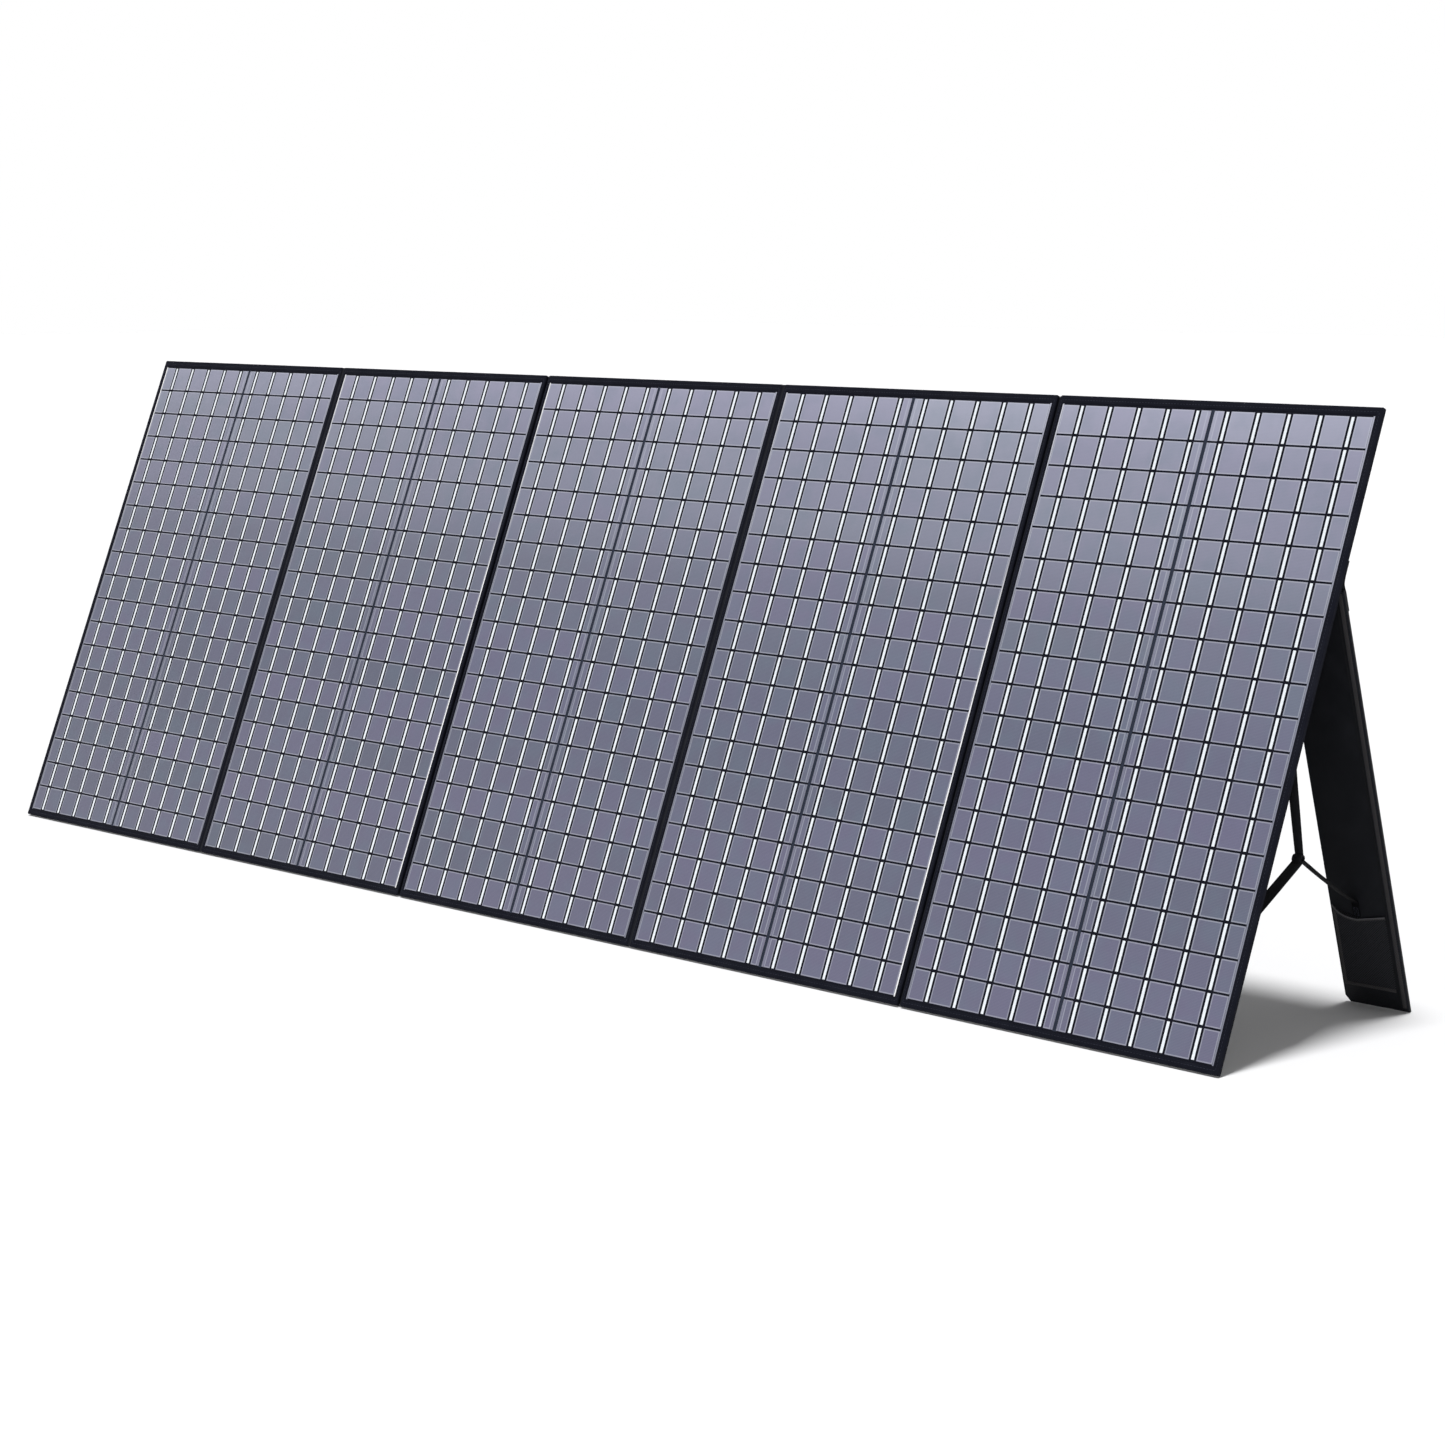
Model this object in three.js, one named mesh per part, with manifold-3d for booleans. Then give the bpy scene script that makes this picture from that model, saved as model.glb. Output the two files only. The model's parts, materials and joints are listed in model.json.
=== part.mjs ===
// Folding solar panel: five solar panels side by side, joined by fabric hinges, leaning on fold-out back stands.
// Millimetres, +Z up, X along the row, Y towards the back. The origin is on the ground, in the middle of the
// footprint. The panels are drawn in a leaning group whose x runs along the row, y up the slope and z out of
// the solar side, with y = 0 at the lower edge and z = 0 on the front of the edge binding.

import * as THREE from 'three';
import { mergeVertices } from 'three/addons/utils/BufferGeometryUtils.js';
import Module from 'manifold-3d';

const wasm = await Module();
wasm.setup();

// ---------- driving dimensions ----------
const CLEAR = 0.3;              // gap kept between pieces that touch
const PANELS = 5;
const PANEL_W = 489;
const PANEL_H = 835;
const PANEL_T = 7;
const HINGE_GAP = 5;            // fabric hinge between two panels
const LEAN = THREE.MathUtils.degToRad(67.5);

const BIND_SIDE = 5.5;          // edge binding widths
const BIND_OUTER = 8;           // at the two free ends of the row
const BIND_TOP = 10.5;
const BIND_BOTTOM = 9;
const BIND_R = 2;
const LAMINATE_T = 1.5;
const LAMINATE_SINK = 0.3;      // laminate face below the binding's face
const BOARD_T = 3.2;
const BACK_T = 1.2;

const WEB_T = 1.0;
const WEB_SINK = 0.6;           // web below the panel face that it folds towards
const WEB_END = 0.5;            // from the web's ends to the panels' top and bottom edges

const STAND_PANELS = [1, 3, 5];
const STAND_W = 94;
const STAND_T = 4.5;
const STAND_GAP = 3;            // room behind a panel for the pocket and straps of a closed stand
const STAND_AXIS_H = 605;       // hinge line, measured up the slope
const STAND_OPEN = THREE.MathUtils.degToRad(41.2);
const STAND_LENGTH = 600;       // before the foot is cut level with the ground
const STAND_TOP_GAP = 2;
const STAND_CHAMFER = 9;
const RIM_W = 10;
const RIM_T = 1.0;
const RIM_INSET = 3;
const HINGE_PATCH_H = 34;
const HINGE_PATCH_T = 1.0;

const POCKET_T = 1.4;
const POCKET_DIP = 461;         // distances along the stand from its hinge line
const POCKET_CORNER = 445;
const POCKET_RIM = 452;
const POCKET_BOTTOM = 562;
const POCKET_INSET = 3;

const STRAP_T = 1.4;
const STRAP_W = 18;
const STRAP_X = 12;             // middle of the webbing, in from the panel's outer edge
const STRAP_HIGH = 385;         // where the webbing leaves the panel, up the slope
const STRAP_LOW = 196;
const STRAP_TAB = 26;           // sewn-down end
const JOIN_Y = 283;             // where the webbing and the tie meet
const JOIN_DEPTH = 70;          // behind the panel's back
const TIE_W = 10.5;
const TIE_T = 1.2;
const TIE_SLANT = 43;           // sideways shift of the tie between its two ends

const BOX_W = 112;              // junction box on the back of the first panel
const BOX_H = 78;
const BOX_T = 12;
const BOX_R = 6;
const LID_T = 2.5;
const SCREW_INSET = 8;          // from the box's sides to the middle of each lid screw
const SCREW_R = 1.5;
const SCREW_HEAD_R = 3;
const SCREW_HEAD_T = 1.6;
const SCREW_L = 9;              // below the head
const BOX_X = 60;               // from the middle of the first panel
const BOX_Y = 700;
const GLAND_R = 7;
const GLAND_BORE_R = 3.8;
const GLAND_L = 16;

// ---------- derived ----------
const PITCH = PANEL_W + HINGE_GAP;
const panelX = (k) => (k - (PANELS + 1) / 2) * PITCH;
const BACK_Z = -PANEL_T;
const AXIS_Z = BACK_Z - STAND_GAP;
const ROW_Z = PANEL_T * Math.cos(LEAN);
const LEG_ANGLE = LEAN + STAND_OPEN;
const axisHeight = ROW_Z + STAND_AXIS_H * Math.sin(LEAN) + AXIS_Z * Math.cos(LEAN);
const legLength = axisHeight / Math.sin(LEG_ANGLE);
const axisBack = STAND_AXIS_H * Math.cos(LEAN) - AXIS_Z * Math.sin(LEAN);
const footBack = axisBack - legLength * Math.cos(LEG_ANGLE) + STAND_T / Math.sin(LEG_ANGLE);
const ROW_Y = -footBack / 2;

// ---------- materials ----------
const paint = (color, roughness, metalness = 0) => new THREE.MeshStandardMaterial({ color, roughness, metalness });
const looks = {
  laminate: () => paint(0x8a8fa6, 0.22),
  binding: () => paint(0x14161f, 0.85),
  board: () => paint(0x2a2b30, 0.7),
  back: () => paint(0x17181c, 0.9),
  web: () => paint(0x1c1e28, 0.9),
  stand: () => paint(0x191a1e, 0.8),
  webbing: () => paint(0x0e0f12, 0.85),
  mesh: () => paint(0x202226, 0.9),
  plastic: () => paint(0x121316, 0.5),
  steel: () => paint(0x8a8c90, 0.35, 0.9),
};

const row = new THREE.Group();
row.rotation.x = LEAN;
row.position.set(0, ROW_Y, ROW_Z);

function add(group, name, geometry, look, at = [0, 0, 0]) {
  const mesh = new THREE.Mesh(geometry, looks[look]());
  mesh.name = name;
  mesh.position.set(...at);
  group.add(mesh);
  return mesh;
}

// A plate between two corners given as [x, y, z].
function plate(group, name, look, low, high) {
  const size = low.map((v, i) => high[i] - v);
  const middle = low.map((v, i) => (v + high[i]) / 2);
  return add(group, name, new THREE.BoxGeometry(...size), look, middle);
}

function roundedRect(path, x0, y0, x1, y1, r) {
  path.moveTo(x0 + r, y0);
  path.lineTo(x1 - r, y0);
  path.absarc(x1 - r, y0 + r, r, -Math.PI / 2, 0, false);
  path.lineTo(x1, y1 - r);
  path.absarc(x1 - r, y1 - r, r, 0, Math.PI / 2, false);
  path.lineTo(x0 + r, y1);
  path.absarc(x0 + r, y1 - r, r, Math.PI / 2, Math.PI, false);
  path.lineTo(x0, y0 + r);
  path.absarc(x0 + r, y0 + r, r, Math.PI, 1.5 * Math.PI, false);
  return path;
}

const extrude = (shape, depth, curveSegments = 4) =>
  new THREE.ExtrudeGeometry(shape, { depth, bevelEnabled: false, curveSegments });

function toSolid(geometry) {
  const bare = new THREE.BufferGeometry();
  bare.setAttribute('position', geometry.getAttribute('position').clone());
  if (geometry.index) bare.setIndex(geometry.index.clone());
  const merged = mergeVertices(bare, 1e-4);
  return new wasm.Manifold(new wasm.Mesh({
    numProp: 3,
    vertProperties: new Float32Array(merged.getAttribute('position').array),
    triVerts: new Uint32Array(merged.index.array),
  }));
}

function toGeometry(solid) {
  const mesh = solid.getMesh();
  const geometry = new THREE.BufferGeometry();
  geometry.setAttribute('position', new THREE.BufferAttribute(new Float32Array(mesh.vertProperties), 3));
  geometry.setIndex(new THREE.BufferAttribute(new Uint32Array(mesh.triVerts), 1));
  geometry.computeVertexNormals();
  return geometry;
}

// A ribbon of even thickness along a line of [y, z] points, extruded sideways by width and centred on x = 0.
function ribbon(points, thickness, width) {
  const sides = [[], []];
  points.forEach((p, i) => {
    const a = points[Math.max(i - 1, 0)];
    const b = points[Math.min(i + 1, points.length - 1)];
    const before = new THREE.Vector2(p[0] - a[0], p[1] - a[1]);
    const after = new THREE.Vector2(b[0] - p[0], b[1] - p[1]);
    if (i === 0) before.copy(after);
    if (i === points.length - 1) after.copy(before);
    before.normalize();
    after.normalize();
    const along = before.clone().add(after).normalize();
    const reach = thickness / 2 / Math.max(0.3, along.dot(before));
    sides[0].push(new THREE.Vector2(p[0] - along.y * reach, p[1] + along.x * reach));
    sides[1].push(new THREE.Vector2(p[0] + along.y * reach, p[1] - along.x * reach));
  });
  const geometry = extrude(new THREE.Shape([...sides[0], ...sides[1].reverse()]), width);
  // The shape's x, y and depth become y, z and x.
  geometry.applyMatrix4(new THREE.Matrix4().set(0, 0, 1, -width / 2, 1, 0, 0, 0, 0, 1, 0, 0, 0, 0, 0, 1));
  return geometry;
}

// ---------- panels ----------
function solarPanel(k) {
  const x0 = panelX(k) - PANEL_W / 2;
  const x1 = panelX(k) + PANEL_W / 2;
  const rim = new THREE.Shape();
  roundedRect(rim, x0, 0, x1, PANEL_H, BIND_R);
  const left = k === 1 ? BIND_OUTER : BIND_SIDE;
  const right = k === PANELS ? BIND_OUTER : BIND_SIDE;
  const inner = [x0 + left, BIND_BOTTOM, x1 - right, PANEL_H - BIND_TOP];
  rim.holes.push(roundedRect(new THREE.Path(), ...inner, 1));
  add(row, `binding_${k}`, extrude(rim, PANEL_T, 3), 'binding', [0, 0, -PANEL_T]);

  const layer = (name, look, front, thickness) => plate(row, name, look,
    [inner[0] + CLEAR, inner[1] + CLEAR, front - thickness], [inner[2] - CLEAR, inner[3] - CLEAR, front]);
  let front = -LAMINATE_SINK;
  layer(`laminate_${k}`, 'laminate', front, LAMINATE_T);
  front -= LAMINATE_T + CLEAR;
  layer(`core_board_${k}`, 'board', front, BOARD_T);
  front -= BOARD_T + CLEAR;
  layer(`back_cover_${k}`, 'back', front, BACK_T);
}

// A fabric hinge lies near the faces that fold together: the solar faces or the backs.
function hingeWeb(k, facesTogether) {
  const middle = panelX(k) + PITCH / 2;
  const half = HINGE_GAP / 2 - CLEAR;
  const top = facesTogether ? -WEB_SINK : BACK_Z + WEB_SINK + WEB_T;
  plate(row, `hinge_web_${k}${k + 1}`, 'web', [middle - half, WEB_END, top - WEB_T],
    [middle + half, PANEL_H - WEB_END, top]);
}

// ---------- stands ----------
// side is +1 where the stand is level with its panel's right edge and -1 where it is level with the left edge.
function backStand(k, side) {
  const edge = panelX(k) + side * PANEL_W / 2;
  const middle = edge - side * STAND_W / 2;

  // Swinging group: y runs back up to the hinge line, z = 0 on the face that turns to the panel.
  const leg = new THREE.Group();
  leg.position.set(middle, STAND_AXIS_H, AXIS_Z);
  leg.rotation.x = STAND_OPEN;
  row.add(leg);

  const half = STAND_W / 2;
  const outline = new THREE.Shape();
  const inside = -side * half;
  const outside = side * half;
  outline.moveTo(outside, -STAND_TOP_GAP);
  outline.lineTo(inside, -STAND_TOP_GAP);
  outline.lineTo(inside, -(legLength - STAND_CHAMFER));
  outline.lineTo(inside + side * STAND_CHAMFER * 0.75, -legLength);
  outline.lineTo(inside + side * STAND_CHAMFER * 0.75, -STAND_LENGTH);
  outline.lineTo(outside, -STAND_LENGTH);
  const raw = toSolid(extrude(outline, STAND_T).translate(0, 0, -STAND_T));
  const up = new THREE.Vector3(0, 0, 1).applyAxisAngle(new THREE.Vector3(1, 0, 0), -LEG_ANGLE);
  const board = raw.trimByPlane(up.toArray(), -axisHeight);
  add(leg, `stand_board_${k}`, toGeometry(board), 'stand');

  const rimOut = outside - side * RIM_INSET;
  const rimIn = rimOut - side * RIM_W;
  plate(leg, `stand_rim_${k}`, 'webbing', [Math.min(rimIn, rimOut), -(legLength - 6), CLEAR],
    [Math.max(rimIn, rimOut), -STAND_TOP_GAP - 4, CLEAR + RIM_T]);

  const pocketOut = rimIn - side * 1.5;
  const pocketIn = inside + side * POCKET_INSET;
  const cover = new THREE.Shape();
  cover.moveTo(pocketIn, -POCKET_CORNER);
  cover.lineTo(pocketIn, -POCKET_BOTTOM);
  cover.lineTo(pocketOut, -POCKET_BOTTOM);
  cover.lineTo(pocketOut, -POCKET_RIM);
  cover.lineTo(outside - side * (STRAP_X + TIE_SLANT), -POCKET_DIP);
  cover.quadraticCurveTo(inside * 0.75, -POCKET_DIP, pocketIn, -POCKET_CORNER);
  add(leg, `stand_pocket_${k}`, extrude(cover, POCKET_T, 8), 'mesh', [0, 0, CLEAR]);

  plate(row, `stand_hinge_${k}`, 'web',
    [middle - half, STAND_AXIS_H + STAND_TOP_GAP, BACK_Z - CLEAR - HINGE_PATCH_T],
    [middle + half, STAND_AXIS_H + STAND_TOP_GAP + HINGE_PATCH_H, BACK_Z - CLEAR]);

  // Webbing sewn to the panel's back at both ends, pulled out to a point by the tie.
  const flat = BACK_Z - CLEAR - STRAP_T / 2;
  const join = BACK_Z - JOIN_DEPTH;
  const webbing = ribbon([
    [STRAP_HIGH + STRAP_TAB, flat], [STRAP_HIGH, flat], [JOIN_Y, join], [STRAP_LOW, flat],
    [STRAP_LOW - STRAP_TAB, flat],
  ], STRAP_T, STRAP_W);
  add(row, `strap_webbing_${k}`, webbing, 'webbing', [edge - side * STRAP_X, 0, 0]);

  // The tie runs from that point to the stand's inner face, just above the pocket.
  const toLeg = (y, z) => {
    const p = new THREE.Vector3(0, y - STAND_AXIS_H, z - AXIS_Z);
    p.applyAxisAngle(new THREE.Vector3(1, 0, 0), -STAND_OPEN);
    return [p.y, p.z];
  };
  const start = toLeg(JOIN_Y, join - 2.2);
  const flatTie = CLEAR + TIE_T / 2;
  const foot = -(POCKET_DIP - 4);
  const tie = ribbon([start, [foot + 22, flatTie], [foot, flatTie]], TIE_T, TIE_W);
  const spots = tie.getAttribute('position');
  const startX = outside - side * STRAP_X;
  for (let i = 0; i < spots.count; i += 1) {
    const t = THREE.MathUtils.clamp((start[1] - spots.getZ(i)) / (start[1] - flatTie), 0, 1);
    spots.setX(i, spots.getX(i) + startX - side * TIE_SLANT * t);
  }
  add(leg, `strap_tie_${k}`, tie, 'webbing');
}

// ---------- junction box ----------
function junctionBox() {
  const x = panelX(1) + BOX_X;
  const shell = new THREE.Shape();
  roundedRect(shell, x - BOX_W / 2, BOX_Y - BOX_H / 2, x + BOX_W / 2, BOX_Y + BOX_H / 2, BOX_R);
  const screws = [[-1, -1], [1, -1], [1, 1], [-1, 1]].map(([a, b]) =>
    [x + a * (BOX_W / 2 - SCREW_INSET), BOX_Y + b * (BOX_H / 2 - SCREW_INSET)]);
  for (const [sx, sy] of screws) {
    shell.holes.push(new THREE.Path().absarc(sx, sy, SCREW_R + CLEAR, 0, 2 * Math.PI, true));
  }
  const top = BACK_Z - CLEAR;
  add(row, 'junction_box_base', extrude(shell, BOX_T, 5), 'plastic', [0, 0, top - BOX_T]);
  add(row, 'junction_box_lid', extrude(shell, LID_T, 5), 'plastic', [0, 0, top - BOX_T - CLEAR - LID_T]);
  const underHead = top - BOX_T - LID_T - 2 * CLEAR;
  const screw = [[0, SCREW_L], [SCREW_R, SCREW_L], [SCREW_R, 0], [SCREW_HEAD_R, 0],
    [SCREW_HEAD_R, -SCREW_HEAD_T * 0.6], [SCREW_HEAD_R * 0.7, -SCREW_HEAD_T], [0, -SCREW_HEAD_T]];
  screws.forEach(([sx, sy], i) => {
    const turned = new THREE.LatheGeometry(screw.map(([r, h]) => new THREE.Vector2(r, -h)), 16);
    add(row, `lid_screw_${i + 1}`, turned.rotateX(-Math.PI / 2), 'steel', [sx, sy, underHead]);
  });
  const profile = [[GLAND_BORE_R, 0], [GLAND_R - 0.6, 0], [GLAND_R, 0.8], [GLAND_R, 5], [GLAND_R - 1.4, 6],
    [GLAND_R - 1.4, GLAND_L - 2], [GLAND_R - 2.4, GLAND_L], [GLAND_BORE_R, GLAND_L], [GLAND_BORE_R, 0]];
  const gland = new THREE.LatheGeometry(profile.map(([r, h]) => new THREE.Vector2(r, h)), 24);
  gland.rotateZ(-Math.PI / 2);
  add(row, 'cable_gland', gland, 'plastic', [x + BOX_W / 2 + CLEAR, BOX_Y, top - GLAND_R - 0.4]);
}

for (let k = 1; k <= PANELS; k += 1) solarPanel(k);
for (let k = 1; k < PANELS; k += 1) hingeWeb(k, k % 2 === 1);
STAND_PANELS.forEach((k) => backStand(k, k === 1 ? -1 : 1));
junctionBox();

const part = new THREE.Group();
part.name = 'folding_solar_panel';
part.add(row);

export default part;
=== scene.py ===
"""Looks of the folding solar panel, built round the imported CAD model.

Lengths are in millimetres in the row's leaning frame: x along the row, y up the slope and z out of the solar
side, with y = 0 at the lower edge and z = 0 on the front of the edge binding.
"""

import json
import math
import random

import bmesh
import bpy
from mathutils import Matrix, Vector, noise


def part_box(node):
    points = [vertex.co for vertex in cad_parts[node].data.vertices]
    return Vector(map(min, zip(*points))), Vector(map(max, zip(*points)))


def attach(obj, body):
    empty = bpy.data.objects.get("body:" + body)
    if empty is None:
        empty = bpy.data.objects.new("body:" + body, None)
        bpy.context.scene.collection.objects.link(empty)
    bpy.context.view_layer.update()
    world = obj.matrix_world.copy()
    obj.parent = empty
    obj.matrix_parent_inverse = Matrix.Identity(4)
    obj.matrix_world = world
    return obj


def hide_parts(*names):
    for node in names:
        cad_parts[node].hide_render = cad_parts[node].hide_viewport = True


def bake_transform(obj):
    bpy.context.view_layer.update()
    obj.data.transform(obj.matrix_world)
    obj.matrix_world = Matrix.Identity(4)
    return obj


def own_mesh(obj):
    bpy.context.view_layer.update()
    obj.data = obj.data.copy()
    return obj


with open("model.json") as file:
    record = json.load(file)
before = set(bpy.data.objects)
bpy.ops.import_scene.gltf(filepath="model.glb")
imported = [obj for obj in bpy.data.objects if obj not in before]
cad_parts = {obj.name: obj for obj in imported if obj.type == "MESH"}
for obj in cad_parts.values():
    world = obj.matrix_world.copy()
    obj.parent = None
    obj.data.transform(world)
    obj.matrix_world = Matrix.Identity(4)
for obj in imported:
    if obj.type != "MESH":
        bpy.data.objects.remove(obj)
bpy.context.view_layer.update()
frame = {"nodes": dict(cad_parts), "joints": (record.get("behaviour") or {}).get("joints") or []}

# ---------- sizes, as in the CAD ----------
PANELS = 5
PANEL_W, PANEL_H, PANEL_T = 489, 835, 7
HINGE_GAP = 5
PITCH = PANEL_W + HINGE_GAP
BIND_SIDE, BIND_OUTER, BIND_TOP, BIND_BOTTOM, BIND_R = 5.5, 8, 10.5, 9, 2
WEB_END = 0.5  # how far a hinge tape stops short of the panels' ends
WEB_DEPTH, WEB_DIP, WEB_HALF_T = 1.3, 0.5, 0.45
CLEAR = 0.3  # between neighbouring pieces
BACK = -PANEL_T

STAND_PANELS = {1: -1, 3: 1, 5: 1}  # panel: the side of it that the stand is level with
STAND_W, STAND_T = 94, 4.5
STAND_AXIS_H, STAND_GAP = 605, 3
STAND_TOP_GAP, STAND_CHAMFER = 2, 9
RIM_W, RIM_INSET, RIM_WEAVE, RIM_T = 10, 3, 5.5, 0.9
HINGE_PATCH_H = 34
POCKET_DIP, POCKET_CORNER, POCKET_RIM, POCKET_BOTTOM, POCKET_INSET = 461, 445, 452, 562, 3
POCKET_SWELL = 0.8
STITCH_PITCH, FINE_STITCH = 3.8, {"length": 2.6, "width": 0.45}
STRAP_T, STRAP_W, STRAP_X = 1.4, 18, 12
STRAP_HIGH, STRAP_LOW, STRAP_TAB = 385, 196, 26
JOIN_Y, JOIN_DEPTH = 283, 70
TIE_W, TIE_T, TIE_SLANT = 10.5, 1.2, 43

BOX_W, BOX_H, BOX_T, BOX_R, LID_T = 112, 78, 12, 6, 2.5
BOX_X, BOX_Y = 60, 700
SCREW_INSET, SCREW_HEAD_R, SCREW_HEAD_T = 8, 3, 1.6
GLAND_R, GLAND_BORE_R, GLAND_L, GLAND_NUT_L = 7, 3.8, 16, 5
FOUR_CORNERS = ((-1, -1), (1, -1), (1, 1), (-1, 1))

# ---------- cell layout ----------
ROWS = 19
BAR_PITCH = 45.5
BARS = [(i + 0.5) * BAR_PITCH for i in range(5)]  # distances to either side of the panel's middle
BAR_HALF = 2.0  # half the width of a busbar
BAR_OUTLINE = 3.4  # bare backing on each side of a busbar
BAR_BREAK = 4.0  # where a busbar stops between two rows
ROW_GAP = 2.7  # between two rows of cells
SEAM_HALF = 2.8  # half the gap between a panel's two columns of cells
SEAM_STRIP = (4.9, 6.9)  # a paler strip beside that gap, from and to
EDGE_LINE = 1.2  # bare backing inside the binding
FILM_EDGE = 2.0  # the film that shows outside the last cells
TILE_RIM, TILE_DROP = 1.6, 0.05  # a cell's bevelled rim: its width and how far it falls
FINGER_PITCH = 1.8  # of the fine lines on the cells
BASE_Z, CELL_Z, FILM_Z, BAR_Z = -0.66, -0.42, -0.40, -0.37
# painted highlight on the film's edge, how white it is painted: high up on a panel's left side, and low down
# on its right side
FILM_PAINTED_HIGHLIGHT = {1: (1.0, 0.0), 2: (0.8, 1.0), 3: (0.9, 0.0), 4: (0.25, 1.0), 5: (0.25, 0.0)}
SHINE_HIGH, SHINE_LOW = (440, 700), (540, 420)  # none to full, along the leaning axes of Graph.place

joints = {j["name"]: j for j in frame["joints"]}
up_slope = Vector(joints["fold_1_2"]["axis"]).normalized()
lean = math.atan2(up_slope.z, up_slope.y)
row_low, row_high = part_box("binding_3")
ROW = Matrix.Translation((0, row_low.y, row_high.z - PANEL_H / 1000 * up_slope.z))
ROW = ROW @ Matrix.Rotation(lean, 4, "X") @ Matrix.Scale(0.001, 4)
AXIS_Z = BACK - STAND_GAP
open_angle = math.radians(joints["stand_5_swing"]["range_deg"][1])
LEG_LENGTH = (ROW @ Vector((0, STAND_AXIS_H, AXIS_Z))).z * 1000 / math.sin(lean + open_angle)


def panel_x(k):
    return (k - (PANELS + 1) / 2) * PITCH


def opening(k):
    """The binding's inner edge, as x0, y0, x1, y1."""
    left = BIND_OUTER if k == 1 else BIND_SIDE
    right = BIND_OUTER if k == PANELS else BIND_SIDE
    return panel_x(k) - PANEL_W / 2 + left, BIND_BOTTOM, panel_x(k) + PANEL_W / 2 - right, PANEL_H - BIND_TOP


def leg_place(middle):
    """The frame of a stand: y runs back up to its hinge line, z = 0 on the face that turns to the panel."""
    return ROW @ Matrix.Translation((middle, STAND_AXIS_H, AXIS_Z)) @ Matrix.Rotation(open_angle, 4, "X")


# ---------- materials ----------
def srgb(*rgb):
    """An sRGB colour of 0 to 255 as linear RGBA."""
    def linear(c):
        c /= 255
        return c / 12.92 if c <= 0.04045 else ((c + 0.055) / 1.055) ** 2.4
    return (*[linear(c) for c in rgb], 1.0)


class Graph:
    """A material's node tree, with its Principled shader ready."""

    def __init__(self, name, roughness=0.6, **sockets):
        self.material = bpy.data.materials.new(name)
        self.material.use_nodes = True
        self.tree = self.material.node_tree
        self.shader = self.tree.nodes["Principled BSDF"]
        self.shader.inputs["Roughness"].default_value = roughness
        for socket, value in sockets.items():
            self.shader.inputs[socket.replace("_", " ")].default_value = value

    def add(self, kind, settings=None, **inputs):
        node = self.tree.nodes.new("ShaderNode" + kind)
        for key, value in (settings or {}).items():
            setattr(node, key, value)
        for key, value in inputs.items():
            self.put(node.inputs[int(key[1:]) if key[0] == "i" and key[1:].isdigit() else key], value)
        return node

    def put(self, socket, value):
        if isinstance(value, bpy.types.NodeSocket):
            self.tree.links.new(value, socket)
        else:
            socket.default_value = value

    def math(self, operation, a, b=0.0, clamp=False):
        return self.add("Math", {"operation": operation, "use_clamp": clamp}, i0=a, i1=b).outputs[0]

    def mix(self, share, a, b):
        node = self.add("Mix", {"data_type": "RGBA"}, i0=share)
        self.put(node.inputs[6], a)
        self.put(node.inputs[7], b)
        return node.outputs[2]

    def ramp(self, value, stops):
        node = self.add("ValToRGB", i0=value)
        while len(node.color_ramp.elements) < len(stops):
            node.color_ramp.elements.new(0.5)
        for element, (place, colour) in zip(node.color_ramp.elements, stops):
            element.position = place
            element.color = colour
        return node.outputs[0]

    def place(self, uv=False):
        """Coordinates in millimetres: the piece's own UV map, or axes that lean with the row.

        The leaning axes start at the world's origin, so their y is about 80 below the row's own y.
        """
        node = self.add("TexCoord")
        source = node.outputs["UV" if uv else "Object"]
        turn = (0, 0, 0) if uv else (-lean, 0, 0)
        mapped = self.add("Mapping", {"vector_type": "POINT"}, Vector=source, Rotation=turn, Scale=(1, 1, 1))
        scaled = self.add("VectorMath", {"operation": "SCALE"}, i0=mapped.outputs[0], Scale=1000.0)
        return scaled.outputs[0]

    def noise(self, where, scale, detail=3.0, rough=0.55):
        node = self.add("TexNoise", Vector=where, Scale=scale, Detail=detail, Roughness=rough)
        return node.outputs["Fac"]

    def split(self, where):
        return self.add("SeparateXYZ", i0=where).outputs

    def colour(self, socket):
        self.put(self.shader.inputs["Base Color"], socket)

    def rough(self, socket):
        self.put(self.shader.inputs["Roughness"], socket)

    def bump(self, height, distance_mm, strength=1.0):
        node = self.add("Bump", Height=height, Distance=distance_mm / 1000, Strength=strength)
        self.put(self.shader.inputs["Normal"], node.outputs[0])


def span(graph, value, low, high, to_low=0.0, to_high=1.0):
    return graph.add("MapRange", Value=value, **{"From Min": low, "From Max": high, "To Min": to_low,
                                                 "To Max": to_high}).outputs[0]


def woven(name, dark, light, thread, uv=False, roughness=0.85, sheen=0.05, depth=0.12, lines=(1.0, 1.0),
          dust=0.03):
    """Plain-woven cloth or webbing whose threads are that many millimetres apart."""
    g = Graph(name, roughness, Sheen_Weight=sheen, Sheen_Roughness=0.5, Specular_IOR_Level=0.12)
    where = g.place(uv)
    x, y, z = g.split(where)
    across = g.math("SINE", g.math("MULTIPLY", x, math.pi / (thread * lines[0])))
    along = g.math("SINE", g.math("MULTIPLY", y, math.pi / (thread * lines[1])))
    weave = g.math("MULTIPLY_ADD", g.math("MULTIPLY", across, along), 0.5)
    weave.node.inputs[2].default_value = 0.5
    fuzz = g.noise(where, 1.7, 4.0)
    blotch = g.noise(where, 0.02, 3.0)
    share = g.math("ADD", g.math("MULTIPLY", weave, 0.55), g.math("MULTIPLY", fuzz, 0.45), clamp=True)
    cloth = g.mix(share, dark, light)
    pale = g.math("MULTIPLY", span(g, blotch, 0.45, 0.75), dust)
    g.colour(g.mix(pale, cloth, srgb(120, 122, 130)))
    g.rough(span(g, blotch, 0.3, 0.7, roughness - 0.08, roughness + 0.07))
    g.bump(g.math("ADD", g.math("MULTIPLY", weave, 0.8), g.math("MULTIPLY", fuzz, 0.3)), depth)
    return g.material


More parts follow.
